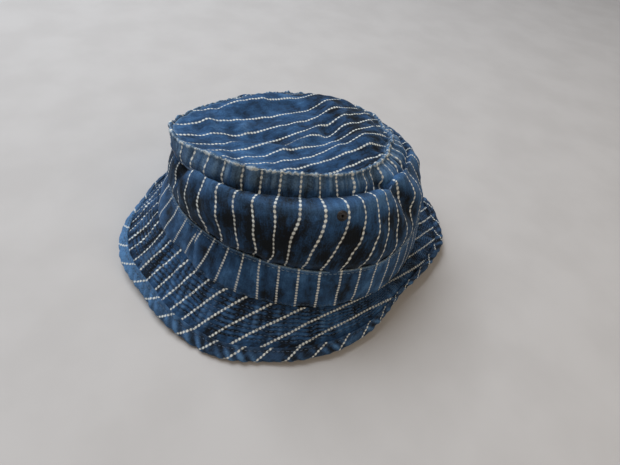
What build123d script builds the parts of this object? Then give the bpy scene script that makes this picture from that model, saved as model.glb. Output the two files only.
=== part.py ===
from build123d import *
from math import hypot
import os

# A soft denim bucket hat, in millimetres, standing on its rim.
# +Z is up, the wearer faces -Y, the wearer's left is +X. The origin is the
# centre of the footprint on the surface that the rim rests on.
# Every ring of the hat is an ellipse, written as (radius in X, radius in Y).

os.makedirs("parts", exist_ok=True)

# ---- driving dimensions ------------------------------------------------------

cloth = 1.2                  # one layer of washed denim
lining_cloth = 0.8           # interlining and woven tape
thread = 0.35                # height of a row of stitching above the cloth
row_width = 0.6              # width of a row of stitching
slip = 0.1                   # gap between two layers that are only sewn together

rim = (124.5, 136.0)         # outside of the edge binding
rest_height = 0.0            # the binding's lower edge is flat here
brim_seam = (92.4, 106.4)    # where the brim meets the outside of the hatband
brim_seam_height = 29.0
brim_edge_height = 3.5       # upper face of the brim, carried out to the rim

binding_cover = 10.0         # how far the binding reaches in over the brim
binding_fold = 1.5           # binding outside the raw edge of the brim
brim_rows = 8                # concentric rows of stitching on the brim

hatband_top_height = 62.0
head_opening = (brim_seam[0] - 2 * cloth, brim_seam[1] - 2 * cloth)

# Outside of the crown's side, from the brim seam up to the ridge round the tip.
crown_profile = [
    (brim_seam[0] - cloth, brim_seam[1] - cloth, brim_seam_height),
    (88.0, 97.5, hatband_top_height),
    (89.5, 99.0, 69.0),
    (88.5, 98.0, 82.0),
    (84.0, 93.5, 88.5),
    (74.0, 86.0, 92.0),
    (69.0, 82.0, 108.0),
]
tip_depth = 1.2              # the tip lies this far below the ridge

sweatband_bottom = 26.0
sweatband_top = 57.0
tape_width = 12.0
crown_tape_height = 8.0

vent_height = 76.0
vent_hole = 2.6              # radius of the hole cut in the cloth
vent_bore = 1.5              # radius left open inside the stitched eyelet
vent_flange = 3.9
vent_flange_thickness = 0.5

label_width = 22.0
label_length = 22.0
label_thickness = 0.5
label_hinge = (94.7, 50.6)   # Y and Z of the line that the label swings about
label_header_height = 3.2
label_header_bottom = 51.4


# ---- shared construction -----------------------------------------------------

def rings(sections, mode=Mode.ADD):
    """A solid with straight sides between elliptical sections (rx, ry, z)."""
    faces = []
    for radius_x, radius_y, height in sections:
        with BuildSketch(Plane.XY.offset(height)) as section:
            Ellipse(radius_x, radius_y)
        faces.append(section.sketch.face())
    loft(faces, ruled=True, mode=mode)


def keep_between(inner, outer, low, high):
    """Keeps only what lies between two upright elliptical walls."""
    with BuildSketch(Plane.XY.offset(low)) as ring:
        Ellipse(*outer)
        Ellipse(*inner, mode=Mode.SUBTRACT)
    extrude(ring.sketch, amount=high - low, mode=Mode.INTERSECT)


def keep_box(x_range, y_range, z_range):
    """Keeps only what lies inside a box."""
    centre = tuple((a + b) / 2 for a, b in (x_range, y_range, z_range))
    size = [b - a for a, b in (x_range, y_range, z_range)]
    with Locations(centre):
        Box(*size, mode=Mode.INTERSECT)


def grown(ellipse, amount):
    """The ellipse with both radii larger by amount."""
    return ellipse[0] + amount, ellipse[1] + amount


def radii_at(profile, height):
    """Radii of a ruled profile at a height."""
    for (xa, ya, za), (xb, yb, zb) in zip(profile, profile[1:]):
        if za <= height <= zb:
            share = (height - za) / (zb - za)
            return xa + share * (xb - xa), ya + share * (yb - ya)
    raise ValueError(f"no section at height {height}")


def inset(profile, depth):
    """The profile moved inwards by depth, measured square to the cloth."""
    moved = []
    for i, (radius_x, radius_y, height) in enumerate(profile):
        normals = []
        for a, b in ((i - 1, i), (i, i + 1)):
            if 0 <= a and b < len(profile):
                run = (profile[b][0] + profile[b][1] - profile[a][0] - profile[a][1]) / 2
                rise = profile[b][2] - profile[a][2]
                normals.append((rise / hypot(run, rise), -run / hypot(run, rise)))
        out = sum(n[0] for n in normals) / len(normals)
        up = sum(n[1] for n in normals) / len(normals)
        reach = depth / (out * out + up * up)
        if i == 0 or i == len(profile) - 1:
            moved.append((radius_x - depth, radius_y - depth, height))
        else:
            moved.append((radius_x - reach * out, radius_y - reach * out, height - reach * up))
    return moved


def band_of(profile, low, high):
    """The part of a profile between two heights, with sections at both ends."""
    middle = [section for section in profile if low < section[2] < high]
    return [(*radii_at(profile, low), low), *middle, (*radii_at(profile, high), high)]


def shell(outer, depth):
    """A ring of cloth that follows an outer profile."""
    rings(outer)
    rings([(rx - depth, ry - depth, z) for rx, ry, z in outer], mode=Mode.SUBTRACT)


def under_brim_face(lift, mode=Mode.ADD):
    """Everything below the brim's upper face, with that face raised by lift."""
    drop = brim_seam_height - brim_edge_height
    reach = 1.3              # carries the cone past the rim
    base = [seam + reach * (edge - seam) for seam, edge in zip(brim_seam, rim)]
    base_height = brim_seam_height - reach * drop
    rings([(*base, base_height + lift), (*brim_seam, brim_seam_height + lift)], mode=mode)


def brim_layer(top, bottom, inner, outer):
    """A sloping ring between two lifts of the brim's upper face."""
    under_brim_face(top)
    under_brim_face(bottom, mode=Mode.SUBTRACT)
    keep_between(inner, outer, -20.0, 60.0)


def brim_ring_at(share):
    """Ellipse on the brim, from 0 at the seam to 1 at the rim."""
    return tuple(seam + share * (edge - seam) for seam, edge in zip(brim_seam, rim))


# ---- worked-out values -------------------------------------------------------

slope = 1.3                  # a layer's upright thickness over its true thickness
face_lift = 0.0
interlining_lift = face_lift - cloth * slope
under_lift = interlining_lift - lining_cloth * slope
underside_lift = under_lift - cloth * slope
binding_lift = face_lift + cloth * slope
binding_under_lift = underside_lift - cloth * slope

raw_edge = grown(rim, -binding_fold)
binding_border = grown(rim, -binding_cover)
crown_inside = inset(crown_profile, cloth)
ridge_height = crown_profile[-1][2]
tip_top = ridge_height - tip_depth
tip_bottom = tip_top - cloth
row_shares = [0.06 + i * 0.57 / (brim_rows - 1) for i in range(brim_rows)]

sweatband_profile = [
    (head_opening[0] - slip, head_opening[1] - slip, sweatband_bottom),
    (head_opening[0] - slip, head_opening[1] - slip, brim_seam_height),
    (*grown(radii_at(crown_inside, sweatband_top), -slip), sweatband_top),
]


# ---- brim --------------------------------------------------------------------

with BuildPart() as brim_top:
    brim_layer(face_lift, interlining_lift, head_opening, raw_edge)

with BuildPart() as brim_interlining:
    brim_layer(interlining_lift, under_lift, head_opening, raw_edge)

with BuildPart() as brim_under:
    brim_layer(under_lift, underside_lift, head_opening, raw_edge)

with BuildPart() as brim_core:
    brim_layer(face_lift, underside_lift, head_opening, raw_edge)

# One strip folded over the raw edge, flat where the hat stands on it.
with BuildPart() as brim_binding:
    brim_layer(binding_lift, binding_under_lift, binding_border, rim)
    keep_box((-200, 200), (-200, 200), (rest_height, 60))
    add(brim_core.part, mode=Mode.SUBTRACT)


def sloping_rows(shares, lift, height):
    """Rows of stitching on a sloping face of the brim."""
    solids = []
    for share in shares:
        inner = brim_ring_at(share)
        with BuildPart() as row:
            brim_layer(lift + height, lift, inner, grown(inner, row_width))
        solids.append(row.part)
    return solids


with BuildPart() as brim_stitch_rows_top:
    add(sloping_rows(row_shares, face_lift, thread))

with BuildPart() as brim_stitch_rows_under:
    add(sloping_rows(row_shares, underside_lift - thread, thread))

binding_stitch_share = 1 - (binding_cover - 2.0) / (rim[0] - brim_seam[0])
with BuildPart() as binding_stitch:
    add(sloping_rows([binding_stitch_share], binding_lift, thread))
    add(sloping_rows([binding_stitch_share], binding_under_lift - thread, thread))


# ---- crown -------------------------------------------------------------------

def crown_side(side, half):
    """Half of the crown's side, seamed at front and back, with its vent hole."""
    rings(crown_profile)
    rings(crown_inside, mode=Mode.SUBTRACT)
    split(bisect_by=Plane.YZ, keep=half)
    with Locations((side * crown_profile[2][0], 0, vent_height)):
        Cylinder(vent_hole, 20, rotation=(0, 90, 0), mode=Mode.SUBTRACT)


with BuildPart() as crown_side_left:
    crown_side(1, Keep.TOP)

with BuildPart() as crown_side_right:
    crown_side(-1, Keep.BOTTOM)

with BuildPart() as crown_tip:
    rings(band_of(crown_inside, tip_bottom, tip_top))


def vent_eyelet(side):
    """A buttonhole-stitched eyelet: a sleeve in the hole with a lip on each face."""
    outside = radii_at(crown_profile, vent_height)[0]
    inside = radii_at(crown_inside, vent_height)[0]
    lip_gap = 0.45           # the lips stay off the curved cloth
    for start, end, radius in (
        (inside - lip_gap - vent_flange_thickness, inside - lip_gap, vent_flange),
        (inside - lip_gap, outside + lip_gap, vent_hole),
        (outside + lip_gap, outside + lip_gap + vent_flange_thickness, vent_flange),
    ):
        place = Plane(origin=(side * start, 0, vent_height), z_dir=(side, 0, 0))
        with BuildSketch(place) as washer:
            Circle(radius)
            Circle(vent_bore, mode=Mode.SUBTRACT)
        extrude(washer.sketch, amount=end - start)


with BuildPart() as vent_eyelet_left:
    vent_eyelet(1)

with BuildPart() as vent_eyelet_right:
    vent_eyelet(-1)


# ---- hatband -----------------------------------------------------------------

hatband_profile = [
    (*brim_seam, brim_seam_height),
    (*grown(crown_profile[1][:2], cloth), hatband_top_height),
]

with BuildPart() as hatband:
    shell(hatband_profile, cloth)


def hatband_row(low):
    """A row of stitching on the outside of the hatband."""
    strip = band_of(hatband_profile, low, low + row_width)
    shell([(rx + thread, ry + thread, z) for rx, ry, z in strip], thread)


with BuildPart() as hatband_stitch_top:
    hatband_row(hatband_top_height - 2.4)

with BuildPart() as hatband_stitch_bottom:
    hatband_row(brim_seam_height + 2.0)


# ---- inside ------------------------------------------------------------------

with BuildPart() as sweatband:
    shell(sweatband_profile, cloth)


def inside_row(low):
    """A row of stitching on the inner face of the sweatband."""
    strip = band_of(sweatband_profile, low, low + row_width)
    shell([(rx - cloth, ry - cloth, z) for rx, ry, z in strip], thread)


with BuildPart() as sweatband_stitch:
    inside_row(brim_seam_height + 1.0)
    inside_row(sweatband_top - 2.0)

tape_outside = [(rx - slip, ry - slip, z) for rx, ry, z in crown_inside]
crown_tape_top = tip_bottom - slip
crown_tape_bottom = crown_tape_top - crown_tape_height

with BuildPart() as crown_seam_tape:
    shell(band_of(tape_outside, crown_tape_bottom, crown_tape_top), lining_cloth)


def upright_tape(y_range):
    """Tape over an upright crown seam, from the sweatband to the crown tape."""
    low = sweatband_top + slip
    high = crown_tape_bottom - slip
    outer = band_of(tape_outside, low, high)
    rings(outer)
    rings(inset(outer, lining_cloth), mode=Mode.SUBTRACT)
    keep_box((-tape_width / 2, tape_width / 2), y_range, (low, high))


with BuildPart() as front_seam_tape:
    upright_tape((-150, 0))

with BuildPart() as back_seam_tape:
    upright_tape((0, 150))


def tape_row(low):
    """A row of stitching on the inner face of the crown tape."""
    strip = band_of(tape_outside, low, low + row_width)
    shell([(rx - lining_cloth, ry - lining_cloth, z) for rx, ry, z in strip], thread)


with BuildPart() as crown_tape_stitch:
    tape_row(crown_tape_bottom + 1.2)
    tape_row(crown_tape_top - 1.8)


# ---- size label --------------------------------------------------------------

header_front = label_hinge[0] + 0.25
header_top = label_header_bottom + label_header_height
sweatband_face = [(rx - cloth, ry - cloth, z) for rx, ry, z in sweatband_profile]

# The folded top of the label, sewn flat against the sweatband at centre back.
with BuildPart() as label_header:
    rings(sweatband_face)
    keep_box(
        (-label_width / 2, label_width / 2),
        (header_front, header_front + 10),
        (label_header_bottom, header_top),
    )

# The free part of the label, which hangs from the line of stitches above it.
with BuildPart() as size_label:
    with BuildSketch(Plane.XZ.offset(-label_hinge[0] - label_thickness / 2)):
        with Locations((0, label_hinge[1] - label_length / 2)):
            RectangleRounded(label_width, label_length, 1.0)
    extrude(amount=label_thickness)

stitch_run = 2.0             # one stitch of the row that holds the label
with BuildPart() as label_stitch:
    row_height = (label_header_bottom + header_top) / 2
    with BuildSketch(Plane.XZ.offset(-header_front)):
        with GridLocations(stitch_run * 1.5, 0, 7, 1):
            with Locations((0, row_height)):
                Rectangle(stitch_run, thread)
    extrude(amount=thread)


# ---- hand over ---------------------------------------------------------------

pieces = {
    "crown_tip": crown_tip,
    "crown_side_left": crown_side_left,
    "crown_side_right": crown_side_right,
    "hatband": hatband,
    "brim_top": brim_top,
    "brim_interlining": brim_interlining,
    "brim_under": brim_under,
    "brim_binding": brim_binding,
    "sweatband": sweatband,
    "crown_seam_tape": crown_seam_tape,
    "front_seam_tape": front_seam_tape,
    "back_seam_tape": back_seam_tape,
    "vent_eyelet_left": vent_eyelet_left,
    "vent_eyelet_right": vent_eyelet_right,
    "label_header": label_header,
    "size_label": size_label,
    "brim_stitch_rows_top": brim_stitch_rows_top,
    "brim_stitch_rows_under": brim_stitch_rows_under,
    "binding_stitch": binding_stitch,
    "hatband_stitch_top": hatband_stitch_top,
    "hatband_stitch_bottom": hatband_stitch_bottom,
    "sweatband_stitch": sweatband_stitch,
    "crown_tape_stitch": crown_tape_stitch,
    "label_stitch": label_stitch,
}
for name, piece in pieces.items():
    piece.part.label = name
    export_step(piece.part, f"parts/{name}.step")
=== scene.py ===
import math

import bpy
import numpy as np
from mathutils import Matrix, Vector


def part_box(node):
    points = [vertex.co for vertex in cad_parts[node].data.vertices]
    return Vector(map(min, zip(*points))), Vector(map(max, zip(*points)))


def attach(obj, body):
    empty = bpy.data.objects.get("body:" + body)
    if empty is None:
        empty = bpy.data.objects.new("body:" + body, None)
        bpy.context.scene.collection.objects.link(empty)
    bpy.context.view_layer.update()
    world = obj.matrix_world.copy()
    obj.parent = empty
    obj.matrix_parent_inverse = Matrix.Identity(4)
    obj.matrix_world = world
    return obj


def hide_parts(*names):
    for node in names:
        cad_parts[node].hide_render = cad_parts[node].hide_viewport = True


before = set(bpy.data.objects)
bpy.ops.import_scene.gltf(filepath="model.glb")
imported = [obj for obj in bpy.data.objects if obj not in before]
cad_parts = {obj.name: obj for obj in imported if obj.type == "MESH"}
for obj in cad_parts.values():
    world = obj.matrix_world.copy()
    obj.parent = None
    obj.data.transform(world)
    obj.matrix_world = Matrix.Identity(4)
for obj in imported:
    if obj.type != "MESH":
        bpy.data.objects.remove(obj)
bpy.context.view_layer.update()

# A washed denim bucket hat that has slumped under its own weight. The shape is
# worked out in millimetres in the frame of the CAD part (+Z up, +Y centre back)
# and written to the meshes in metres. Directions round the hat are polar angles
# from +X, and every ring is an ellipse that is pushed in or out and up or down.

mm = 0.001

cloth = 1.0                 # one layer of denim
lining = 0.6                # interlining and tape
slip = 0.12                 # gap between two layers that are only sewn together
cell = 1.25                 # size of a mesh cell

stripe_pitch = 12.3
dot_pitch = 2.5


# ---- the slumped shape ----
# A level is a ring: its half widths in X and Y, then its heights and how far it is
# pushed out, both at 0, 45, ... 315 degrees.

rim_level = ((124.5, 136.0), (7.5, 12.7, 9.2, 3.6, 7.5, 12.7, 9.2, 3.6), (0, -1, 2, 0, -2, -2, 0, 0))
seam_level = ((92.4, 106.4), (34, 40, 41, 34, 22, 19, 22, 27), (0, 0, -2, 2, 6, 5, 2, 0))
band_level = ((89.4, 98.7), (64, 69, 70, 67, 59, 56, 57, 60), (0, -4, -5, 0, 9, 6, 0, 0))
crest_level = ((80.0, 91.0), (88, 95, 102, 107, 102, 94, 84, 82), (-3, -15, -10, 0, 0, -5, -2, 0))
shoulder_level = ((85.0, 95.5), *crest_level[1:])
crease_level = ((73.0, 85.0), (88, 95, 101, 104, 99, 92, 83, 81), (0, 2, 3, -2, -3, -1, 0, 0))
ridge_level = ((69.0, 82.0), (94, 103, 114, 118, 111, 103, 93, 89), (0, -4, 5, -3, -6, -10, -4, 4))


def around(table, t):
    """Smooth curve through eight values round the hat, at the angles t."""
    waves = np.fft.rfft(table) / len(table)
    total = np.full(np.shape(t), waves[0].real)
    for k in range(1, len(waves)):
        weight = 1 if 2 * k == len(table) else 2
        total += weight * (waves[k].real * np.cos(k * t) - waves[k].imag * np.sin(k * t))
    return total


def ring(level, t, lift=0.0, grow=0.0):
    """Points of a level at the angles t, lifted and grown by some distance."""
    size, height, push = level
    radius = size[0] * size[1] / np.hypot(size[1] * np.cos(t), size[0] * np.sin(t))
    radius = radius + around(push, t) + grow
    return np.stack([radius * np.cos(t), radius * np.sin(t), around(height, t) + lift], axis=-1)


def hill(value, width):
    """A smooth bump of height 1 where the value is 0."""
    return np.exp(-((value / width) ** 2))


def dent(t, centre, width):
    """A smooth bump of height 1 round a direction, in degrees."""
    return hill((np.degrees(t) - centre + 180) % 360 - 180, width)


def push_out(points, t, amount):
    """Moves points of a ring level and away from the axis."""
    moved = points.copy()
    moved[..., 0] += amount * np.cos(t)
    moved[..., 1] += amount * np.sin(t)
    return moved


def seam_ring(t, lift=0.0, grow=0.0):
    """Ring at the head seam, with its notch beside centre back."""
    return push_out(ring(seam_level, t, lift, grow), t, -4 * dent(t, 105, 8))


def between(low, high, *shares):
    """A level between two others; the shares are for its size, heights and pushes."""
    return [tuple(x + share * (y - x) for x, y in zip(a, b)) for a, b, share in zip(low, high, shares)]


def angles(start, end, radius):
    """Even steps from start to end, in degrees, one cell apart at that radius."""
    count = int(round(math.radians(end - start) * radius / cell))
    return np.radians(np.linspace(start, end, count + 1))


def all_round(joint, radius):
    """Angles right round the hat, from one side of a joint to the other."""
    return angles(joint + 0.02, joint + 359.98, radius)


def ring_gaps(rings):
    """Mean distance from each ring of a list to the next."""
    return np.linalg.norm(np.diff(np.stack(rings), axis=0), axis=-1).mean(axis=1)


def even_rows(gaps, step):
    """Even steps across the rings, from the first to the last."""
    return np.linspace(0, np.sum(gaps), max(2, int(round(np.sum(gaps) / step))) + 1)


def skin(rings, step=cell, gaps=None):
    """Rows of points on a smooth surface through a list of rings."""
    knots = np.stack(rings)
    gaps = ring_gaps(rings) if gaps is None else gaps
    place = np.concatenate([[0.0], np.cumsum(gaps)])
    slope = np.gradient(knots, place, axis=0)
    at = even_rows(gaps, step)
    span = np.clip(np.searchsorted(place, at, side="right") - 1, 0, len(gaps) - 1)
    width = gaps[span][:, None, None]
    share = (at - place[span])[:, None, None] / width
    square, cube = share ** 2, share ** 3
    return (
        (2 * cube - 3 * square + 1) * knots[span]
        + (cube - 2 * square + share) * width * slope[span]
        + (3 * square - 2 * cube) * knots[span + 1]
        + (cube - square) * width * slope[span + 1]
    )


def unit(vectors):
    """The vectors, each brought to length 1."""
    return vectors / np.maximum(np.linalg.norm(vectors, axis=-1, keepdims=True), 1e-9)


def normals(grid):
    """Unit normals of a grid: up the rows is up the cloth, along them is +t."""
    return unit(np.cross(np.gradient(grid, axis=1), np.gradient(grid, axis=0)))


def lengths_up(grid):
    """Distance of each row from the first, measured up the cloth."""
    steps = np.linalg.norm(np.diff(grid, axis=0), axis=-1).mean(axis=1)
    return np.concatenate([[0.0], np.cumsum(steps)])


def lengths_along(line):
    """Distance of each point of a line from its first point."""
    steps = np.linalg.norm(np.diff(line, axis=0), axis=-1)
    return np.concatenate([[0.0], np.cumsum(steps)])


def rumple(points, size, seed, waves=26):
    """Smooth random bumps between about -1 and 1, about one size across."""
    draw = np.random.default_rng(seed)
    heading = unit(draw.normal(size=(waves, 3)))
    pace = 2 * math.pi / size * draw.uniform(0.6, 1.4, waves)
    phase = draw.uniform(0, 2 * math.pi, waves)
    total = np.zeros(points.shape[:-1])
    for k in range(waves):
        total += np.cos(points @ (heading[k] * pace[k]) + phase[k])
    return total / math.sqrt(waves / 2) / 1.6


def pucker(t, across, gathers, seed, waves=22):
    """Random gathers round the hat that drift as they cross the rows."""
    draw = np.random.default_rng(seed)
    total = np.zeros(np.broadcast(t, across).shape)
    for _ in range(waves):
        count = int(draw.integers(*gathers))
        total += np.cos(count * t + draw.normal(0, 0.35) * across + draw.uniform(0, 2 * math.pi))
    return total / math.sqrt(waves / 2) / 1.6


def across_and_along(x, y, heading):
    """Coordinates across and along a direction in the plane."""
    return y * math.cos(heading) - x * math.sin(heading), x * math.cos(heading) + y * math.sin(heading)


def smooth(low, high, value):
    """0 below low, 1 above high and a smooth rise between."""
    share = np.clip((value - low) / (high - low), 0, 1)
    return share * share * (3 - 2 * share)


# ---- meshes ----

def new_object(name, points, faces):
    """A smooth mesh object from points in millimetres."""
    mesh = bpy.data.meshes.new(name)
    mesh.from_pydata((points * mm).tolist(), [], faces)
    mesh.polygons.foreach_set("use_smooth", [True] * len(mesh.polygons))
    made = bpy.data.objects.new(name, mesh)
    bpy.context.scene.collection.objects.link(made)
    return made


def panel(name, outside, thickness, face, back, slot, across=0.0, along=0.0, wear=0.0,
          relief_and_shade=0.0, spread=1.0, hole=None, inward=None, body="hat"):
    """A closed panel of cloth. outside is its outer face as a grid of points, across
    and along are the cloth's own coordinates, wear counts from 0 to 1, painted shade and
    light from -1 (darkest) to 1 (lightest), and spread is how much of across goes by in one step over the
    cloth."""
    rows, columns = outside.shape[:2]
    count = rows * columns
    inside = outside - (normals(outside) if inward is None else inward) * thickness
    number = np.arange(count).reshape(rows, columns)
    kept = np.ones((rows - 1, columns - 1), bool)
    if hole is not None:
        kept &= ~hole
    corners = np.stack([number[:-1, :-1], number[:-1, 1:], number[1:, 1:], number[1:, :-1]], axis=-1)
    outer = corners[kept]
    faces = [outer, outer[:, ::-1] + count]
    beside = np.pad(kept, 1)
    for side, (row, column) in enumerate(((-1, 0), (0, 1), (1, 0), (0, -1))):
        open_edge = kept & ~beside[1 + row:rows + row, 1 + column:columns + column]
        start, end = corners[open_edge][:, side], corners[open_edge][:, (side + 1) % 4]
        faces.append(np.stack([end, start, start + count, end + count], axis=-1))
    points = np.concatenate([outside.reshape(-1, 3), inside.reshape(-1, 3)])
    made = new_object(name, points, np.concatenate(faces).tolist())
    mesh = made.data
    for material in (face, back):
        mesh.materials.append(material)
    side_count = len(mesh.polygons) - 2 * len(outer)
    mesh.polygons.foreach_set("material_index", [0] * len(outer) + [1] * len(outer) + [0] * side_count)
    mesh.set_sharp_from_angle(angle=math.radians(55))
    values = (across, along, np.clip(wear, 0, 1), np.clip(relief_and_shade, -1, 1), spread)
    finish_cloth(made, *[np.broadcast_to(v, (rows, columns)) for v in values])
    return dress(made, name, body)


def finish_cloth(made, across, along, wear, relief_and_shade, spread):
    """Writes the cloth's coordinates and values to both faces of a panel."""
    mesh = made.data
    loops = np.empty(len(mesh.loops), int)
    mesh.loops.foreach_get("vertex_index", loops)
    places = np.tile(np.stack([across.ravel(), along.ravel()], axis=-1) * mm, (2, 1))
    mesh.uv_layers.new(name="Cloth").data.foreach_set("uv", places[loops].ravel())
    for label, values in (("wear", wear), ("relief_and_shade", relief_and_shade), ("spread", spread)):
        layer = mesh.attributes.new(label, "FLOAT", "POINT")
        layer.data.foreach_set("value", np.tile(values.ravel(), 2).astype(np.float32))


def dress(made, name, body="hat"):
    """Rides a piece on its body and hides the CAD part of the same name."""
    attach(made, body)
    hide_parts(name)
    return made


def strands(name, places, headings, ups, length, radius, material, slot, seed, blunt=0.55,
            droop=0.0):
    """A group of separate stitches, each a rounded strand lying on the cloth."""
    draw = np.random.default_rng(seed)
    count = len(places)
    sides = np.cross(ups, headings)
    steps, turns = 5, 6
    reach = np.linspace(-1, 1, steps)
    girth = np.array([blunt, 0.92, 1.0, 0.92, blunt])
    turn = np.arange(turns) * 2 * math.pi / turns
    stretch = length / 2 * draw.uniform(0.88, 1.06, count)
    twist = draw.normal(0, 0.06, count)
    ahead = headings + sides * twist[:, None]
    bow = (reach ** 2)[None, :, None] * ups[:, None, :] * (radius * 0.9 + droop)
    spine = places[:, None] + ahead[:, None] * (reach[None, :, None] * stretch[:, None, None]) - bow
    aside, above = [radius * girth[:, None] * wave(turn)[None, :] for wave in (np.cos, np.sin)]
    loops = (spine[:, :, None] + sides[:, None, None] * aside[None, :, :, None]
             + ups[:, None, None] * above[None, :, :, None])
    each = steps * turns
    one = [[s * turns + j, s * turns + (j + 1) % turns, (s + 1) * turns + (j + 1) % turns,
            (s + 1) * turns + j] for s in range(steps - 1) for j in range(turns)]
    quads = (np.array(one)[None] + (np.arange(count) * each)[:, None, None]).reshape(-1, 4).tolist()
    caps = [[i * each + j for j in reversed(range(turns))] for i in range(count)]
    caps += [[i * each + (steps - 1) * turns + j for j in range(turns)] for i in range(count)]
    made = new_object(name, loops.reshape(-1, 3), quads + caps)
    made.data.materials.append(material)
    return dress(made, name)


def row_of_stitches(line, ups, length, gap):
    """Centres, headings and ups of stitches along a line of points."""
    run = lengths_along(line)
    at = np.arange(gap, run[-1] - length / 2, length + gap)

    def read(values, where):
        return np.stack([np.interp(where, run, values[:, k]) for k in range(3)], axis=-1)

    centres = read(line, at)
    headings = unit(read(line, at + 0.4) - read(line, at - 0.4))
    raised = read(ups, at)
    raised -= headings * np.sum(raised * headings, axis=1, keepdims=True)
    return centres, headings, unit(raised)


def joined(rows):
    """Stitches of several rows as one set."""
    return [np.concatenate(part) for part in zip(*rows)]


# ---- materials ----

class Shader:
    """A Principled material and short ways to add nodes to it."""

    def __init__(self, name, roughness, sheen=0.0, sheen_tint=(1, 1, 1, 1), specular=0.25):
        self.material = bpy.data.materials.new(name)
        self.material.use_nodes = True
        self.tree = self.material.node_tree
        self.principled = self.tree.nodes["Principled BSDF"]
        fixed = {"Roughness": roughness, "Specular IOR Level": specular, "Sheen Weight": sheen,
                 "Sheen Roughness": 0.45, "Sheen Tint": sheen_tint}
        for key, value in fixed.items():
            self.principled.inputs[key].default_value = value

    def put(self, socket, value):
        if isinstance(value, bpy.types.NodeSocket):
            self.tree.links.new(value, socket)
        else:
            socket.default_value = value

    def add(self, kind, inputs=(), **settings):
        made = self.tree.nodes.new(kind)
        for key, value in settings.items():
            setattr(made, key, value)
        for key, value in dict(inputs).items():
            self.put(made.inputs[key], value)
        return made

    def maths(self, operation, *values, clamp=False):
        inputs = dict(enumerate(values))
        return self.add("ShaderNodeMath", inputs, operation=operation, use_clamp=clamp).outputs[0]

    def times(self, a, b):
        return self.maths("MULTIPLY", a, b)

    def plus(self, a, b):
        return self.maths("ADD", a, b)

    def vector(self, operation, *values):
        return self.add("ShaderNodeVectorMath", dict(enumerate(values)), operation=operation).outputs[0]

    def ramp(self, value, low, high, out_low=0.0, out_high=1.0):
        inputs = {0: value, 1: low, 2: high, 3: out_low, 4: out_high}
        return self.add("ShaderNodeMapRange", inputs, interpolation_type="SMOOTHSTEP").outputs[0]

    def noise(self, place, size, detail=2.0, roughness=0.5):
        inputs = {"Vector": place, "Scale": 1 / (size * mm), "Detail": detail, "Roughness": roughness}
        return self.add("ShaderNodeTexNoise", inputs).outputs[0]

    def colour(self, factor, low, high, blend="MIX"):
        inputs = {0: factor, 6: low, 7: high}
        return self.add("ShaderNodeMix", inputs, data_type="RGBA", blend_type=blend).outputs[2]

    def attribute(self, name):
        return self.add("ShaderNodeAttribute", attribute_name=name).outputs["Fac"]

    def object_place(self):
        return self.add("ShaderNodeTexCoord").outputs["Object"]

    def cloth_place(self):
        return self.add("ShaderNodeUVMap", uv_map="Cloth").outputs[0]

    def finish(self, colour, height=None, depth=0.1, strength=1.0):
        self.put(self.principled.inputs["Base Color"], colour)
        if height is not None:
            bump = {"Height": height, "Distance": depth * mm, "Strength": strength}
            self.put(self.principled.inputs["Normal"], self.add("ShaderNodeBump", bump).outputs[0])
        return self.material


def rgb(*values):
    return (*values, 1.0)


def twill(shader, place, rib):
    """Height of a twill weave: steep diagonal ribs broken by the yarns that cross them."""
    part = shader.add("ShaderNodeSeparateXYZ", {0: place}).outputs
    diagonal = shader.plus(shader.times(part[0], 0.87),
                            shader.times(part[1], 0.5))
    ribs = shader.maths("SINE", shader.times(diagonal, 2 * math.pi / (rib * mm)))
    yarns = shader.maths("SINE", shader.times(part[1], 2 * math.pi / (rib * 1.2 * mm)))
    return shader.plus(ribs, shader.times(yarns, 0.35))


def pinstripe(shader, place, part, pitch, dots):
    """Mask of the dotted pinstripe, worn and slightly out of line."""
    wobble = shader.maths("SUBTRACT", shader.noise(place, 17, 1.0), 0.5)
    across = shader.plus(part[0], shader.times(wobble, 1.1 * mm))
    count = shader.maths("DIVIDE", across, pitch * mm)
    stripe = shader.maths("ROUND", count)
    aside = shader.times(shader.maths("SUBTRACT", count, stripe), pitch * mm)
    aside = shader.maths("DIVIDE", aside, shader.attribute("spread"))
    start = shader.add("ShaderNodeTexWhiteNoise", {"W": stripe}, noise_dimensions="1D").outputs[0]
    step = shader.plus(shader.maths("DIVIDE", part[1], dots * mm), start)
    past = shader.times(shader.maths("SUBTRACT", step, shader.maths("ROUND", step)), dots * mm)
    oval = shader.maths("SQRT", shader.plus(
        shader.maths("POWER", shader.maths("DIVIDE", aside, 0.76 * mm), 2.0),
        shader.maths("POWER", shader.maths("DIVIDE", past, 0.9 * mm), 2.0)))
    ragged = shader.plus(oval, shader.times(shader.noise(place, 1.3, 2.0), 0.5))
    dot = shader.ramp(ragged, 1.45, 0.95)
    line = shader.ramp(shader.maths("ABSOLUTE", aside), 0.75 * mm, 0.35 * mm, 0.0, 0.26)
    worn = shader.ramp(shader.noise(place, 9, 2.0), 0.25, 0.6, 0.72, 1.0)
    return shader.times(shader.maths("MAXIMUM", dot, line), worn)


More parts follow.
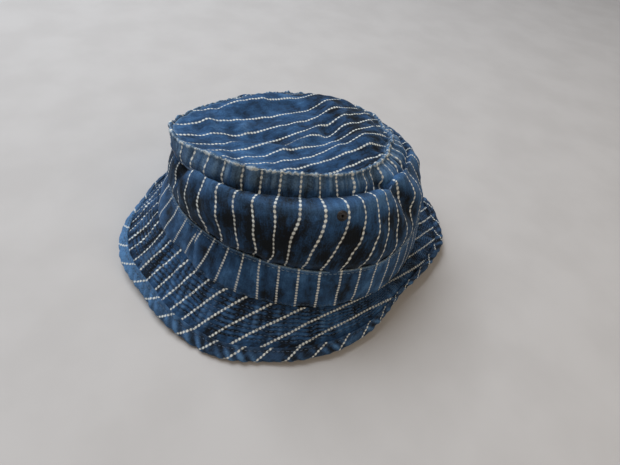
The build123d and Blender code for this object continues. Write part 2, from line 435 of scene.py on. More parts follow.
def denim(name, dark, body, light, worn, striped=True, painted_shade_weight=0.3, level=0.46):
    """Washed indigo twill with painted shade and light: near black in the hollows, blue on the crests; pale
    at rubbed edges.
    """
    shader = Shader(name, 0.95, 0.1, rgb(0.55, 0.75, 1.0), 0.1)
    place, cloth_place = shader.object_place(), shader.cloth_place()
    part = shader.add("ShaderNodeSeparateXYZ", {0: cloth_place}).outputs
    speck = shader.noise(place, 1.1, 2.0, 0.6)
    streak = shader.noise(shader.vector("MULTIPLY", cloth_place, (1.0, 0.12, 1.0)), 0.9, 2.0, 0.6)
    drawn = shader.noise(shader.vector("MULTIPLY", cloth_place, (1.0, 0.45, 1.0)), 4.5, 3.0, 0.6)
    blotch = shader.noise(place, 11, 3.0, 0.6)
    shade = shader.ramp(shader.noise(place, 46, 2.0), 0.3, 0.7, level - 0.13, level + 0.13)
    # The last term paints on the shade and light that each panel gives: darker in hollows, lighter on crests.
    for tone, weight, middle in (
            (shader.ramp(blotch, 0.34, 0.66), 0.21, 0.5), (shader.ramp(drawn, 0.32, 0.68), 0.29, 0.5),
            (speck, 0.5, 0.5), (streak, 0.46, 0.5), (shader.attribute("relief_and_shade"), painted_shade_weight, 0.0)):
        lean = shader.maths("MULTIPLY_ADD", tone, weight, -middle * weight)
        shade = shader.plus(shade, lean)
    cloth_colour = shader.colour(shader.ramp(shade, 0.0, 0.72), dark, body)
    cloth_colour = shader.colour(shader.ramp(shade, 0.55, 1.15), cloth_colour, light)
    wear = shader.attribute("wear")
    chafe = shader.maths("MULTIPLY_ADD", blotch, 0.6, speck)
    rub = shader.maths("MULTIPLY", wear, shader.ramp(chafe, 0.45, 1.0, 0.3, 1.0), clamp=True)
    cloth_colour = shader.colour(rub, cloth_colour, worn)
    frayed = shader.ramp(shader.times(wear, shader.ramp(chafe, 0.5, 1.0, 0.7, 1.3)), 0.75, 1.1)
    cloth_colour = shader.colour(frayed, cloth_colour, frayed_cotton)
    weave = twill(shader, cloth_place, 0.9)
    height = shader.plus(shader.times(weave, 0.35),
                          shader.times(shader.plus(speck, streak), 0.8))
    if striped:
        mask = pinstripe(shader, cloth_place, part, stripe_pitch, dot_pitch)
        cloth_colour = shader.colour(mask, cloth_colour, stripe_cotton)
        height = shader.plus(height, shader.times(mask, 0.6))
    return shader.finish(cloth_colour, height, 0.16, 0.8)


def plain_cloth(name, low, high, rib, roughness=0.9, depth=0.1):
    """A plain woven cloth, tape or label."""
    shader = Shader(name, roughness, 0.15)
    place, cloth_place = shader.object_place(), shader.cloth_place()
    tone = shader.maths("MULTIPLY_ADD", shader.noise(place, 11, 3.0), 0.6,
                        shader.times(shader.noise(place, 0.9, 2.0), 0.4))
    colour = shader.colour(shader.ramp(tone, 0.3, 0.72), low, high)
    return shader.finish(colour, twill(shader, cloth_place, rib), depth, 0.7)


def thread_material(name, low, high):
    """Cotton thread: a fine twist along each stitch and a change of tone between them."""
    shader = Shader(name, 0.7, 0.2)
    place = shader.object_place()
    tone = shader.noise(place, 5, 2.0)
    twist = shader.add("ShaderNodeTexWave", {"Vector": place, "Scale": 1 / (3.2 * mm), "Distortion": 2.0},
                       bands_direction="DIAGONAL").outputs[1]
    colour = shader.colour(shader.ramp(tone, 0.3, 0.7), low, high)
    return shader.finish(colour, twist, 0.08, 0.8)


stripe_cotton = rgb(0.66, 0.67, 0.63)
frayed_cotton = rgb(0.42, 0.46, 0.48)
# Dark, body, light and worn colours: the dark end also paints shade in the hollows and the light end paints
# light on the crests.
indigo = (rgb(0.007, 0.0085, 0.011), rgb(0.025, 0.068, 0.152), rgb(0.06, 0.15, 0.305), rgb(0.19, 0.30, 0.43))
denim_face = denim("denim", *indigo)
# The brim takes stronger painted shade in the grooves between its rows.
denim_brim = denim("denim_brim", *indigo, painted_shade_weight=0.42, level=0.4)
denim_back = denim("denim_back", rgb(0.05, 0.075, 0.12), rgb(0.13, 0.185, 0.28), rgb(0.18, 0.25, 0.36),
                   indigo[3], striped=False)
binding_face = denim("binding_denim", rgb(0.009, 0.010, 0.012), rgb(0.029, 0.062, 0.125),
                     rgb(0.065, 0.14, 0.26), rgb(0.14, 0.32, 0.6), painted_shade_weight=0.4)
interlining_cloth = plain_cloth("interlining", rgb(0.5, 0.47, 0.4), rgb(0.68, 0.65, 0.57), 0.8)
sweatband_cloth = plain_cloth("sweatband_twill", rgb(0.012, 0.017, 0.03), rgb(0.035, 0.047, 0.075), 1.0)
tape_cloth = plain_cloth("seam_tape", rgb(0.018, 0.024, 0.042), rgb(0.05, 0.062, 0.1), 0.7)
label_weave = plain_cloth("label_cloth", rgb(0.52, 0.48, 0.4), rgb(0.7, 0.66, 0.57), 0.5, 0.75, 0.06)
dark_thread = thread_material("thread_dark", rgb(0.022, 0.038, 0.07), rgb(0.07, 0.11, 0.18))
worn_thread = thread_material("thread_worn", rgb(0.08, 0.13, 0.2), rgb(0.2, 0.28, 0.37))
eyelet_yarn = thread_material("eyelet_thread", rgb(0.014, 0.013, 0.014), rgb(0.055, 0.05, 0.05))


# ---- brim ----

core = 2 * cloth + lining             # brim top, interlining and brim under
brim_joint = 0                        # the brim's own seam, in degrees
row_count = 8
first_row, last_row = 0.05, 0.63      # rows of stitching, as shares from seam to rim
brim_slant = 41.0                     # from seam to rim, along the cloth
brim_step = 0.52                      # between two rows of the brim's mesh
binding_cover = 10.5
binding_gap = 0.25
cone_turn = 0.86                      # how much a cone's flat pattern closes up
cone_middle = math.radians(150)       # the direction that keeps its place in the pattern
brim_heading = math.radians(-88)      # the stripes' direction in the flat pattern
brim_stripe_pitch = 9.7               # the rows of stitching draw the cloth in
brim_stripe_shift = 7.6


def brim_middle(t, share):
    """Points of the brim's middle surface, from 0 at the seam to 1 at the rim."""
    seam = seam_ring(t, grow=0.2)
    edge = ring(rim_level, t)
    dents = -5.5 * dent(t, 56, 14) - 5.5 * dent(t, 101, 12) + 3 * dent(t, 132, 13)
    dents = dents - 14.5 * dent(t, 207, 22) + 3 * dent(t, 240, 8) - 2.5 * dent(t, 118, 8)
    edge = push_out(edge, t, dents)
    share = np.asarray(share)[..., None]
    middle = seam + share * (edge - seam)
    middle[..., 2] -= core / 2 + cloth * 0.2
    sag = np.sin(math.pi * share[..., 0])
    middle[..., 2] += sag * (1.2 * np.cos(2 * t + 0.8) - 0.6 + 3.5 * dent(t, 203, 24))
    return middle


def brim_relief(t, share):
    """Quilting between the rows of stitching, and gathers."""
    place = (share - first_row) / (last_row - first_row) * (row_count - 1)
    in_rows = smooth(first_row - 0.03, first_row, share) * smooth(last_row + 0.05, last_row, share)
    drift = place + 0.13 * pucker(t, place * 0.3, (20, 60), 7)
    groove = hill(drift - np.round(drift), 0.22)
    groove = groove * (0.75 + 0.3 * pucker(t, place * 0.5, (12, 40), 8))
    gathers = 0.8 * pucker(t, place * 1.7, (80, 150), 5) + 0.7 * pucker(t, place * 0.7, (30, 70), 6)
    gathers = gathers * (0.72 + 0.45 * dent(t, 85, 45))
    quilt = in_rows * (0.3 - 0.85 * groove + 0.44 * gathers * (1 - 0.6 * groove))
    return quilt + (1 - in_rows) * 0.25 * gathers


def brim_waves(middle):
    """Broad waves of the brim, shared by its layers and the binding."""
    return 0.9 * rumple(middle, 46, 11) + 0.35 * rumple(middle, 17, 12)


def brim_surface(t, share, side):
    """One face of the brim's core: side is 1 for the top and -1 for the underside."""
    middle = brim_middle(t, share)
    up = normals(middle)
    relief_and_shade = brim_relief(t, share)
    return middle + up * (brim_waves(middle) + side * (core / 2 + relief_and_shade))[..., None], up, relief_and_shade


def flat_pattern(points):
    """Coordinates across and along the stripes of the brim's one-piece pattern."""
    t = np.arctan2(points[..., 1], points[..., 0]) % (2 * math.pi)
    t = np.where(t < math.radians(brim_joint), t + 2 * math.pi, t)
    radius = np.hypot(points[..., 0], points[..., 1]) / cone_turn
    turned = cone_middle + cone_turn * (t - cone_middle)
    return across_and_along(radius * np.cos(turned), radius * np.sin(turned), brim_heading)


def brim_grid(inner, outer):
    """Angles and shares of a grid on the brim, from the rim side up to the seam."""
    t = all_round(brim_joint, 104)[None, :]
    share = np.linspace(outer, inner, int(round((outer - inner) * brim_slant / brim_step)) + 1)[:, None]
    return np.broadcast_arrays(t, share)


inner_share, raw_share = -0.025, 0.955
under_stripe_shift = 4.0
brim_t, brim_share = brim_grid(inner_share, raw_share)
brim_face, brim_up, brim_bumps = brim_surface(brim_t, brim_share, 1)
across, along = flat_pattern(brim_middle(brim_t, brim_share))
scale = stripe_pitch / brim_stripe_pitch
brim_wear = 0.14 * smooth(0.35, 1.0, brim_bumps / 0.6) + 0.1 * smooth(0.8, 1.0, brim_share)
# The quilting is also painted on as shade and light: darker in the grooves, lighter on the puffs.
panel("brim_top", brim_face, cloth, denim_brim, denim_back, "denim",
      (across + brim_stripe_shift) * scale, along, brim_wear,
      brim_bumps / 0.8 - 0.12, spread=scale, inward=brim_up)

lining_face = brim_face - brim_up * cloth
coarse = (slice(None, None, 2), slice(None, None, 2))
panel("brim_interlining", lining_face[coarse], lining, interlining_cloth, interlining_cloth,
      "interlining", across[coarse], along[coarse], inward=brim_up[coarse])

under_face = (lining_face - brim_up * lining - brim_up * cloth)[::-1]
# The underside is painted darker in its own hollows, under the top's puffs.
panel("brim_under", under_face, cloth, denim_brim, denim_back, "denim",
      (across[::-1] + under_stripe_shift) * scale, along[::-1], brim_wear[::-1],
      -brim_bumps[::-1] / 0.6, spread=scale, inward=-brim_up[::-1])


# ---- edge binding ----

binding_joint = 232                   # the binding's own seam, in degrees
bias = math.radians(50)               # the strip is cut at this angle to its stripes
binding_row = 2.2                     # from each border to its row of stitching


def binding_section(t):
    """Rings of the binding's outer face, from its lower border round the rim to its upper one."""
    half = core / 2 + cloth + binding_gap
    t = t[None, :]
    shares = np.linspace(1 - binding_cover / brim_slant, 1 - half / brim_slant, 7)
    edge, inner = [brim_middle(t, np.full(t.shape, share)) for share in (shares[-1], shares[0])]
    outward = unit(edge - inner)
    up = normals(np.concatenate([edge, inner]))[:1]
    waves = brim_waves(edge)

    def layer(share, side):
        return brim_middle(t, np.full(t.shape, share)) + up * (side * half + waves)[..., None]

    rings = [layer(share, -1) for share in shares]
    for turn in np.radians(np.linspace(-60, 60, 5)):
        rings.append(edge + outward * math.cos(turn) * half + up * (math.sin(turn) * half + waves)[..., None])
    rings += [layer(share, 1) for share in shares[::-1]]
    return [r[0] for r in rings]


binding_t = all_round(binding_joint, 130)
binding = skin(binding_section(binding_t), cell * 0.8)
binding_out = normals(binding)
up_cloth = lengths_up(binding)[:, None]
round_cloth = lengths_along(ring(rim_level, binding_t))[None, :]
border_fade = np.minimum(smooth(0, 2.5, up_cloth), smooth(0, 2.5, up_cloth[-1] - up_cloth))
ripple = pucker(binding_t[None, :] + up_cloth * 0.006, up_cloth * 0.35, (60, 120), 21)
tuck = hill(up_cloth - binding_row, 0.8) + hill(up_cloth[-1] - up_cloth - binding_row, 0.8)
binding_relief = 0.38 * ripple * (0.4 + 0.6 * border_fade) - 0.35 * tuck
binding = binding + binding_out * binding_relief[..., None]
# Painted light: the binding is painted paler round 80 degrees, on its lit side; the other terms are wear
# along the fold and on the ripples.
painted_lit_side = 0.6 * dent(binding_t, 80, 28)[None, :]
binding_wear_and_lit_side = (painted_lit_side + 0.16 * hill(up_cloth / up_cloth[-1] - 0.5, 0.1)
                + 0.16 * smooth(0.1, 0.5, binding_relief))
# The ripples and the tucks at the stitching are also painted on as shade and light.
panel("brim_binding", binding, cloth, binding_face, denim_back, "binding_denim",
      *across_and_along(up_cloth, round_cloth, bias), binding_wear_and_lit_side, binding_relief / 0.5,
      inward=binding_out)


# ---- crown side and hatband ----

def ridge_line(t, lift=0.0, grow=0.0):
    """Ring on the raised seam round the tip."""
    line = ring(ridge_level, t, lift, grow)
    line[..., 2] += 0.45 * pucker(t, 0.0, (70, 190), 36)
    line[..., 2] += 1.6 * dent(t, 110, 15) - 1.0 * dent(t, 268, 9)
    dents = 3.0 * dent(t, 75, 8) - 4.0 * dent(t, 108, 15) - 3.0 * dent(t, 240, 12) - 4.5 * dent(t, 266, 9)
    return push_out(line, t, dents)


def wall_rings(t):
    """Rings of the crown side's outer face, up to the crease and on to the ridge."""
    rings = [
        seam_ring(t, 0.5, -1.5),
        ring(band_level, t, -4, -1.5),
        ring(band_level, t, 1.2, -0.9),
    ]
    over = 1.6 + 0.6 * dent(t, 128, 34) + 1.5 * dent(t, 20, 40) - 2.4 * dent(t, 232, 30)
    for share, grow in ((0.16, 0.0), (0.42, 0.3), (0.7, -0.3), (0.88, -2.2)):
        level = between(band_level, shoulder_level, smooth(0.55, 1.0, share), share, share)
        rings.append(push_out(ring(level, t), t, over * (1 - share) ** 0.5 + grow))
    rings.append(ring(crest_level, t, 0.4))
    rings.append(ring(between(crest_level, crease_level, 0.6, 0.5, 0.6), t, 0.6))
    rings.append(ring(crease_level, t, -0.6))
    strip = [
        rings[-1], ring(between(crease_level, ridge_level, 0.5, 0.45, 0.5), t),
        ridge_line(t, -2.2, 0.5), ridge_line(t, -0.6, 0.5), ridge_line(t, 0.0, -0.6),
        ridge_line(t, -0.9, -1.7), ridge_line(t, -2.6, -2.1),
    ]
    return rings, strip


strip_step = cell * 0.8
wall_gaps, strip_gaps = [ring_gaps(rings) for rings in wall_rings(np.radians(np.arange(0, 360, 2.0)))]
wall_rise = even_rows(wall_gaps, cell)
crease = wall_rise[-1]                # distances up the cloth from the head seam
wall_rise = np.concatenate([wall_rise, crease + even_rows(strip_gaps, strip_step)[1:]])[:, None]
wall_top = wall_rise[-1, 0]


def wall(start, end):
    """Grid of the crown side's outer face, from the head seam to the tip."""
    t = angles(start, end, 92)
    rings, strip = wall_rings(t)
    return t, np.concatenate([skin(rings, cell, wall_gaps), skin(strip, strip_step, strip_gaps)[1:]])


def wall_relief(t, grid):
    """Soft dents, folds and gathers of the crown side, square to the cloth."""
    rise = wall_rise
    band = 32.0
    free = smooth(band, band + 12, rise) * smooth(crease + 2, crease - 10, rise)
    broad = 1.5 * rumple(grid, 44, 31) + 0.55 * rumple(grid, 16, 32)
    strip = smooth(crease - 3, crease + 3, rise) * smooth(wall_top, wall_top - 5, rise)
    gathers = 0.8 * pucker(t[None, :], rise * 0.12, (20, 60), 33)
    tucks = smooth(band + 9, band + 2, rise) * smooth(band - 4, band + 1, rise)
    drawn = 0.7 * pucker(t[None, :], rise * 0.1, (16, 44), 34)
    lean = t[None, :] + (rise - crease) * 0.006
    fold = -5.2 * dent(lean, 203, 4.5) + 2.6 * dent(lean, 213, 7)
    tucked = np.degrees(t)[None, :] % 360 - (rise - crease) * 0.12
    fold = fold * smooth(wall_top, crease - 4, rise)
    pinch = -4.2 * hill(tucked - 98, 3.6) + 2.0 * hill(tucked - 107, 6)
    fold = (fold + pinch * smooth(crease - 3, crease - 14, rise)) * smooth(band + 6, band + 20, rise)
    return free * broad + strip * gathers + tucks * drawn + fold + 0.12 * rumple(grid, 5, 35)


band_width = 34.0
vent_angle = {"left": 9.0, "right": 171.0}
vent_share = {"left": 0.5, "right": 0.705}   # between the hatband and the crease
vent_hole = 1.7
wall_stretch = 1.015


def stripe_columns(t, shift):
    """Distance along the cloth at each column, measured at the shoulder."""
    shoulder = ring(shoulder_level, t, grow=3.0)
    shoulder[..., 2] = 0
    return (lengths_along(shoulder) + shift) * wall_stretch


def stripe_drift(side, degrees, rise):
    """How far the stripes run aside of their columns, where the slump has drawn the cloth."""
    lean = 10 * smooth(118, 165, degrees) * smooth(340, 250, degrees)
    slide = np.clip((crease - 14 - rise) / (crease - 48), 0, 1)
    hump = -4.5 * smooth(112, 121, degrees) * smooth(152, 143, degrees)
    hump = hump * smooth(crease - 10, crease - 24, rise) * smooth(35, 43, rise)
    drift = lean * slide + hump
    if side == "right":
        draw = 7.4 * smooth(70, 100, degrees) - 13.4 * smooth(132, 182, degrees)
        draw = draw + 6 * smooth(186, 206, degrees)
        on_strip = 3.7 * smooth(140, 112, degrees) - 6 * smooth(176, 192, degrees)
        drift = drift + draw * (1 - smooth(crease - 22, 36, rise))
        drift = drift + on_strip * smooth(crease - 3, crease + 5, rise)
    return drift


def open_vent(side, t, grid, out):
    """Finds the cells of the vent hole and moves the points round them onto its circle."""
    height = band_width + vent_share[side] * (crease - band_width)
    row = int(np.argmin(np.abs(wall_rise[:, 0] - height)))
    column = int(np.argmin(np.abs(np.degrees(t) % 360 - vent_angle[side])))
    centre, up = grid[row, column].copy(), out[row, column]
    offset = grid - centre
    aside = offset - up * (offset @ up)[..., None]
    far = np.linalg.norm(aside, axis=-1)
    hole = 0.25 * (far[:-1, :-1] + far[1:, :-1] + far[:-1, 1:] + far[1:, 1:]) < vent_hole
    hole[:row - 6] = False
    touching, beside = np.zeros(far.shape, bool), np.zeros(far.shape, bool)
    low, high = slice(None, -1), slice(1, None)
    for rows, columns in ((low, low), (high, low), (low, high), (high, high)):
        touching[rows, columns] |= hole
        beside[rows, columns] |= ~hole
    brink = touching & beside
    grid[brink] += aside[brink] * (vent_hole / far[brink] - 1)[:, None]
    return hole, centre, up


def crown_side(side, start, shift):
    """Half of the crown's side with its vent hole; returns the hole's centre and facing."""
    t, grid = wall(start + 0.02, start + 179.98)
    rise = wall_rise
    ends = np.minimum(t - t[0], t[-1] - t)[None, :] * 90
    relief_and_shade = wall_relief(t, grid) - 0.5 * hill(ends, 1.3)
    grid = grid + normals(grid) * relief_and_shade[..., None]
    out = normals(grid)
    hole, centre, up = open_vent(side, t, grid, out)
    across = stripe_columns(t, shift)[None, :] + stripe_drift(side, np.degrees(t)[None, :], rise)
    yarns = 0.3 + 0.26 * pucker(t[None, :], rise * 0.06, (50, 150), 42)
    worn = (1.1 * hill(rise - wall_top + 4.4, 0.95) * (0.85 + 0.25 * rumple(grid, 5, 41))
            + 0.10 * hill(rise - crease + 9, 5)
            + smooth(crease + 1, crease + 7, rise) * yarns
            - 0.2 * hill(rise - crease, 2.5))
    # Painted light and shade: hollows darker and crests lighter, a painted highlight along the shoulder and
    # painted shade on the wall below it; the strip above the crease is lighter, and so is the wall round 215
    # degrees.
    tone = (relief_and_shade / 2.2 + 1.2 * hill(rise - crease + 10, 8) - 0.85
            + 1.0 * smooth(crease - 3, crease + 4, rise) + 0.45 * dent(t, 215, 25)[None, :])
    panel(f"crown_side_{side}", grid, cloth, denim_face, denim_back, "denim", across, rise,
          worn, tone, hole=hole, inward=out)
    return centre, up


vents = {"left": crown_side("left", -90, 3.0), "right": crown_side("right", 90, 3.9)}

band_joint = 112                      # the hatband's own seam, in degrees
band_stretch = 0.963
band_shift = 11.5
band_row = 2.6                        # from the upper edge to its row of stitching


def band_rings(t):
    """Rings of the hatband's outer face, a little fuller at mid height."""
    bottom, top = seam_ring(t), ring(band_level, t)
    return [bottom, push_out((bottom + top) / 2, t, 0.9), top]


def band_relief(t, grid):
    """Gathers along the hatband's seam and soft dents above it."""
    rise = lengths_up(grid)[:, None]
    seam_gathers = 0.35 * pucker(t[None, :], rise * 0.15, (36, 90), 51) * np.exp(-rise / 9)
    upper_row = hill(rise[-1] - rise - band_row, 0.9)
    return seam_gathers + 0.55 * rumple(grid, 30, 52) + 0.1 * rumple(grid, 6, 53) - 0.3 * upper_row


band_t = all_round(band_joint, 98)
band = skin(band_rings(band_t))
band_out = normals(band)
band_bumps = band_relief(band_t, band)
band_ends = np.minimum(band_t - band_t[0], band_t[-1] - band_t)[None, :] * 96
band_bumps = band_bumps - 0.45 * hill(band_ends, 1.2)
band = band + band_out * band_bumps[..., None]
band_rise = lengths_up(band)[:, None]
band_middle = band[len(band) // 2].copy()
band_middle[:, 2] = 0
band_degrees = np.degrees(band_t)
band_draw = 3.9 * smooth(155, 182, band_degrees)
# the stripes lean from upright by this much per millimetre of height
band_tilt = (0.2 * smooth(141, 125, band_degrees) + 0.13 * smooth(128, 114, band_degrees)
             - 0.07 * smooth(200, 250, band_degrees) * smooth(450, 400, band_degrees)
             + 0.33 * smooth(410, 450, band_degrees))
band_across = ((lengths_along(band_middle) - band_shift) * band_stretch - band_draw
               - band_tilt * (band_rise - band_rise[-1] / 2))
# Painted light and shade: streaks up the band for the shade of its gathers, darker in hollows and lighter on
# crests.
band_gather_shading = 0.42 * pucker(band_t[None, :], band_rise * 0.03, (24, 90), 54)
band_worn = (0.75 * hill(band_rise[-1] - band_rise, 0.9)
             + 0.12 * hill(band_rise, 1.2))
band_painted_shading = 0.36 + band_bumps / 0.8 + band_gather_shading
panel("hatband", band, cloth, denim_face, denim_back, "denim", band_across, band_rise, band_worn,
      band_painted_shading, inward=band_out)


# ---- crown tip ----

tip_centre_height = 98.0
tip_heading = math.radians(-85)
tip_shift = 2.3
tip_spread = 0.77
tip_gather = 0.46                     # the near part of the tip is drawn together
gather_start = 13.0
gather_ease = 5.0
tip_folds = (                         # height, start, end and width
    (3.0, (30, -48), (-4, -8), 5),
    (3.0, (-6, -5), (-20, 26), 5),
    (-2.4, (6, -28), (-16, -12), 6),
    (3.2, (44, 56), (14, 60), 5),
    (3.0, (-4, 48), (-12, 22), 5),
    (-2.6, (8, 40), (-2, 10), 7),
    (-4.5, (-46, 36), (-54, -22), 8),
)


def ripple_along(x, y, start, end, width):
    """A fold of height 1 along a straight run, fading out at its ends."""
    run = np.array(end, float) - np.array(start, float)
    length = np.hypot(*run)
    ahead = ((x - start[0]) * run[0] + (y - start[1]) * run[1]) / length
    aside = ((x - start[0]) * run[1] - (y - start[1]) * run[0]) / length
    ends = smooth(-14, 8, ahead) * smooth(length + 14, length - 8, ahead)
    return np.exp(-((aside / width) ** 2)) * ends


def tip_height(x, y, t, share):
    """Height of the slumped tip over the plane that the rim rests on."""
    edge = around(ridge_level[1], t) - 0.8 - 4.4 * dent(t, 160, 60)
    height = tip_centre_height + (edge - tip_centre_height) * share ** 2.4
    folds = 6.0 * smooth(-20, -42, y) * smooth(-50, -24, x) * smooth(-74, -60, y)
    folds = folds + 4.0 * hill(x + 29, 11) * hill(y + 24, 22)
    for rise, start, end, width in tip_folds:
        folds = folds + rise * ripple_along(x, y, start, end, width)
    swell = 8.0 * hill(share - 0.75, 0.17) * dent(t, 17, 40)
    return height + smooth(1.0, 0.8, share) * folds + swell


def disc(count):
    """A square grid bent to a disc of radius 1, with even cells and no pole."""
    u, v = np.meshgrid(np.linspace(-1, 1, count), np.linspace(-1, 1, count))
    return u * np.sqrt(1 - v * v / 2), v * np.sqrt(1 - u * u / 2)


disc_x, disc_y = disc(126)
tip_t, tip_share = np.arctan2(disc_y, disc_x), np.hypot(disc_x, disc_y)
tip_edge = ridge_line(tip_t, 0.0, -2.4)
tip_edge = push_out(tip_edge, tip_t, 1.3 * dent(tip_t, 5, 60))
tip_x, tip_y = tip_edge[..., 0] * tip_share, tip_edge[..., 1] * tip_share
tip_z = tip_height(tip_x, tip_y, tip_t, tip_share)
tip = np.stack([tip_x, tip_y, tip_z], axis=-1)
tip_inside = smooth(1.0, 0.86, tip_share)
tip_bumps = tip_inside * (0.8 * rumple(tip, 22, 61) + 0.3 * rumple(tip, 9, 62))
tip_bumps = tip_bumps + 0.5 * pucker(tip_t, tip_share * 3, (24, 70), 63) * smooth(0.78, 0.97, tip_share)
tip[..., 2] += tip_bumps
tip_out = normals(tip)
tip_aside, tip_along = across_and_along(tip_x, tip_y, tip_heading)
tip_past = (gather_start - tip_aside) / gather_ease
tip_across = tip_aside * tip_spread - tip_gather * gather_ease * np.logaddexp(0, tip_past) + tip_shift
tip_step = tip_spread + tip_gather / (1 + np.exp(-tip_past))
tip_worn = 0.5 * hill(1 - tip_share, 0.012) + 0.12 * smooth(0.5, 1.4, tip_bumps)
# Painted light and shade: lighter towards +Y, darker towards -Y, darker in hollows and lighter on crests.
tip_painted_shading = 0.15 + tip_bumps / 2.0 + 0.6 * smooth(5, 50, tip_y) - 1.0 * smooth(-12, -45, tip_y)
panel("crown_tip", tip, cloth, denim_face, denim_back, "denim", tip_across, tip_along,
      tip_worn, tip_painted_shading, spread=tip_step, inward=tip_out)


# ---- rows of stitching ----

stitch, stitch_gap, stitch_radius = 2.3, 0.8, 0.24
stitch_lift = 0.08                    # of a stitch's middle over the cloth


def stitching(name, rows, seed, thread=dark_thread):
    """Stitches of sewing thread that lie on the cloth."""
    strands(name, *rows, stitch, stitch_radius, thread, "thread", seed)


def brim_rows(side):
    """Stitches of the concentric rows on one face of the brim."""
    rows = []
    for share in np.linspace(first_row, last_row, row_count):
        t = angles(0, 360, 118)
        t, at = np.broadcast_arrays(t[None, :], np.array([share + 0.01, share, share - 0.01])[:, None])
        face, up, _ = brim_surface(t, at, side)
        rows.append(row_of_stitches(face[1] + up[1] * side * stitch_lift, up[1] * side, stitch, stitch_gap))
    return joined(rows)


def grid_row(grid, out, rise, at):
    """Stitches along a grid of cloth, at a distance up it."""
    place = np.interp(at, rise, np.arange(len(rise)))
    low = int(place)
    share = place - low
    line = grid[low] * (1 - share) + grid[low + 1] * share
    up = out[low] * (1 - share) + out[low + 1] * share
    return row_of_stitches(line + up * stitch_lift, up, stitch, stitch_gap)


def edge_rows(grid, out, rise, low, high):
    """Stitches along both edges of a strip, at these distances from them."""
    return joined([grid_row(grid, out, rise, low), grid_row(grid, out, rise, rise[-1] - high)])


stitching("brim_stitch_rows_top", brim_rows(1), 71)
stitching("brim_stitch_rows_under", brim_rows(-1), 72)
binding_rows = edge_rows(binding, binding_out, lengths_up(binding), binding_row, binding_row)
stitching("binding_stitch", binding_rows, 73)
band_up = band_rise[:, 0]
stitching("hatband_stitch_top", grid_row(band, band_out, band_up, band_up[-1] - band_row), 74, worn_thread)
stitching("hatband_stitch_bottom", grid_row(band, band_out, band_up, 1.8), 75)


# ---- vent eyelets ----

def vent_eyelet(side, centre, up):
    """Buttonhole stitches round the vent: short strands over the cut edge, on both faces."""
    first = unit(np.cross(up, (0, 0, 1.0)))
    second = np.cross(up, first)
    spokes = 30
    turn = np.arange(spokes) * 2 * math.pi / spokes
    radial = np.cos(turn)[:, None] * first + np.sin(turn)[:, None] * second
    ring_heading = -np.sin(turn)[:, None] * first + np.cos(turn)[:, None] * second
    ups = np.broadcast_to(up, radial.shape)
    reach = 2.35 + 0.18 * np.random.default_rng(81).normal(size=(spokes, 1))
    outer = (centre + radial * reach + ups * 0.42, radial, ups)
    inner = (centre + radial * reach - ups * (cloth + 0.42), radial, -ups)
    throat = (centre + radial * 1.4 - ups * (cloth / 2), ups, radial)
    lip = (centre + radial * 1.5 + ups * 0.55, ring_heading, ups)
    hem = (centre + radial * 3.05 + ups * 0.25, ring_heading, ups)
    strands(f"vent_eyelet_{side}", *joined([outer, inner, throat, lip, hem]), 1.7, 0.3, eyelet_yarn,
            "eyelet_thread", 82, blunt=0.8, droop=0.1)


for side, vent in vents.items():
    vent_eyelet(side, *vent)


# ---- inside ----

label_low, label_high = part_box("size_label")
header_low, header_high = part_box("label_header")
label_face = header_low.y / mm                # inner side of the label's header
header_bottom, header_top = header_low.z / mm, header_high.z / mm
label_half = header_high.x / mm

sweat_gap = 2 * cloth + 3 * slip + 0.6
label_room = 0.15                     # from the label to the sweatband behind it
lean_above, lean_below = 0.56, 0.22   # slopes of the sweatband over and under the label's hinge
pull_in, pull_out = 5.0, 1.8          # the most that the label's seam moves it


def sweatband_rings(t):
    """Rings of the sweatband's inner face; at the label it lies just behind the label."""
    seam = seam_ring(t, -2.0, -sweat_gap - cloth - 0.6)
    top = ring(band_level, t, -3.5, -sweat_gap - cloth - 1.6)
    at_label = smooth(12, 7, np.abs(np.degrees(t) - 90))
    rings = []
    for share in (0.0, 0.25, 0.44, 0.66, 1.0):
        at = seam + share * (top - seam)
        above = at[..., 2] - label_high.z / mm
        wanted = label_face + label_room - above * np.where(above > 0, lean_above, lean_below)
        wanted = wanted / np.maximum(np.sin(t), 0.5)
        pull = np.clip(wanted - np.hypot(at[..., 0], at[..., 1]), -pull_in, pull_out)
        rings.append(push_out(at, t, pull * at_label * smooth(0.0, 0.25, share)))
    return rings


sweat_t = all_round(-90, 92)
sweat = skin(sweatband_rings(sweat_t), cell * 1.4)[::-1]
sweat_rise = lengths_up(sweat)[:, None]
sweat_out = normals(sweat)
sweat_bumps = 0.35 * rumple(sweat, 28, 91) * (1 - dent(sweat_t[None, :], 90, 12))
sweat = sweat + sweat_out * sweat_bumps[..., None]
sweat_along = lengths_along(sweat[0])[None, :]
panel("sweatband", sweat, cloth, sweatband_cloth, sweatband_cloth, "sweatband_twill",
      sweat_along, sweat_rise, inward=sweat_out)
stitching("sweatband_stitch", edge_rows(sweat, sweat_out, sweat_rise[:, 0], 2.0, 1.3), 92)


def inner_wall(start, end):
    """Grid of the crown side's inner face, seen from inside the hat."""
    t, grid = wall(start, end)
    grid = grid + normals(grid) * (wall_relief(t, grid) - cloth - slip)[..., None]
    return grid, normals(grid)


def tape(name, grid, out):
    """A strip of woven tape against the inside of the crown."""
    face = (grid - out * lining)[::-1]
    facing = -out[::-1]
    rise = lengths_up(face)[:, None]
    wide = lengths_along(face[len(face) // 2])[None, :]
    panel(name, face, lining, tape_cloth, tape_cloth, "seam_tape",
          wide, rise, inward=facing)
    return face, facing, rise[:, 0]


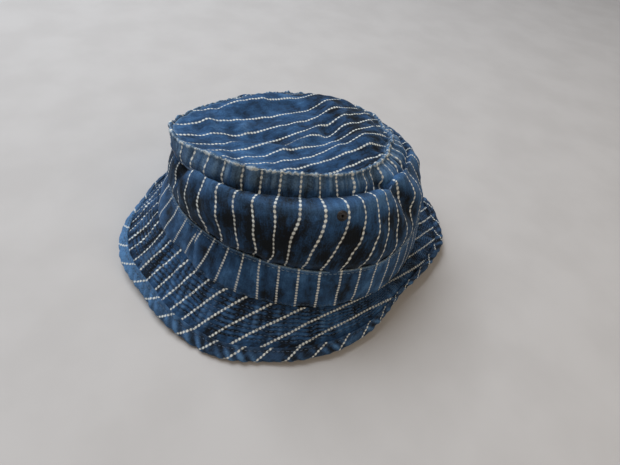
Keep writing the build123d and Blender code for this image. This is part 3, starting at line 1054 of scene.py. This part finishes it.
inner, inner_out = inner_wall(-90 + 0.02, 270 - 0.02)
inner_rise = wall_rise[:, 0]
tape_top, tape_width, tape_half = wall_top - 4.5, 8.5, 6.0
rows = (inner_rise > tape_top - tape_width) & (inner_rise < tape_top)
ring_tape = tape("crown_seam_tape", inner[rows], inner_out[rows])
stitching("crown_tape_stitch", edge_rows(*ring_tape, 1.2, 1.2), 93)
rows = (inner_rise > 28) & (inner_rise < tape_top - 9)
reach = math.degrees(tape_half / 98)
for label, middle in (("front", -90), ("back", 90)):
    strip, strip_out = inner_wall(middle - reach, middle + reach)
    tape(f"{label}_seam_tape", strip[rows], strip_out[rows])


# ---- size label ----

def label_grid(low, high, bow, thickness_side):
    """Upright grid of the label's cloth, facing the inside of the hat (-Y)."""
    across = np.linspace(-label_half, label_half, 24)[None, :]
    height = np.linspace(low, high, max(4, int(round((high - low) / 0.9))))[:, None]
    x, z = np.broadcast_arrays(across, height)
    y = label_face + thickness_side + bow * ((high - z) / (high - low)) ** 2
    y = y + 0.18 * np.sin(x * 0.35 + 0.6) * smooth(high, low, z)
    return np.stack([x, y, z], axis=-1), across, height


hinge_y = (label_low.y + label_high.y) / 2 / mm
flap_thickness, header_thickness = 0.35, 0.7
header_proud = 0.2                    # the header is sewn down into the sweatband
flap, flap_across, flap_along = label_grid(label_low.z / mm, label_high.z / mm, 0.6,
                                           hinge_y - label_face - 0.2)
flap_piece = panel("size_label", flap, flap_thickness, label_weave, label_weave, "label_cloth",
                   flap_across, flap_along, body="label_flap")

header, header_across, header_along = label_grid(header_bottom, header_top, 0.0, 0.0)
sweat_middle = sweat[::-1, sweat.shape[1] // 2]
header_back = np.interp(header[..., 2], sweat_middle[:, 2], sweat_middle[:, 1])
header[..., 1] = header_back - header_proud
panel("label_header", header, header_thickness, label_weave, label_weave, "label_cloth",
      header_across, header_along)
row_y, row_z = header[len(header) // 2, 0, 1:] - (0.12, 0.0)
label_row = np.linspace((1 - label_half, row_y, row_z), (label_half - 1, row_y, row_z), 30)
strands("label_stitch", *row_of_stitches(label_row, np.tile((0.0, -1.0, 0.0), (30, 1)), 2.0, 0.8),
        2.0, 0.18, dark_thread, "thread", 94)


# ---- floor, lights and camera ----

def floor():
    """A plain pale floor at the height that the rim rests on."""
    shader = Shader("floor", 0.85)
    tone = shader.noise(shader.object_place(), 60, 3.0)
    colour = shader.colour(shader.ramp(tone, 0.3, 0.7), rgb(0.46, 0.435, 0.42), rgb(0.49, 0.465, 0.45))
    corners = np.array([[-3, -3, 0], [3, -3, 0], [3, 3, 0], [-3, 3, 0]])
    made = new_object("floor", corners / mm, [[0, 1, 2, 3]])
    made.data.materials.append(shader.finish(colour))


def lamp(name, azimuth, elevation, distance, size, power, colour):
    """A square area light that faces the hat from a direction in degrees."""
    data = bpy.data.lights.new(name, "AREA")
    data.size = size
    data.energy = power
    data.color = colour
    made = bpy.data.objects.new(name, data)
    bpy.context.scene.collection.objects.link(made)
    a, e = math.radians(azimuth), math.radians(elevation)
    way = Vector((math.cos(a) * math.cos(e), math.sin(a) * math.cos(e), math.sin(e)))
    made.location = way * distance + Vector((0, 0, 0.06))
    made.rotation_euler = way.to_track_quat("Z", "Y").to_euler()


def camera():
    """A close view from above, with the camera rolled a little."""
    data = bpy.data.cameras.new("camera")
    data.lens = 24.97
    data.sensor_width = 36
    data.clip_start = 0.01
    made = bpy.data.objects.new("camera", data)
    bpy.context.scene.collection.objects.link(made)
    place = Vector((-0.2304, 0.1279, 0.2715))
    ahead = (Vector((-0.0543, 0.0136, 0.055)) - place).normalized()
    right = ahead.cross(Vector((0, 0, 1))).normalized()
    up = right.cross(ahead)
    roll = math.radians(8.71)
    side = right * math.cos(roll) + up * math.sin(roll)
    top = up * math.cos(roll) - right * math.sin(roll)
    made.matrix_world = Matrix.Translation(place) @ Matrix((side, top, -ahead)).transposed().to_4x4()
    bpy.context.scene.camera = made


floor()
lamp("key", 25, 60, 1.6, 1.1, 30, (0.86, 0.93, 1.0))
lamp("fill", 195, 38, 1.8, 1.6, 10.5, (1.0, 0.79, 0.52))
camera()

world = bpy.data.worlds.new("world")
world.use_nodes = True
sky = world.node_tree.nodes["Background"]
sky.inputs[0].default_value = rgb(0.95, 0.96, 1.0)
sky.inputs[1].default_value = 0.22
bpy.context.scene.world = world
bpy.context.scene.view_settings.view_transform = "Standard"
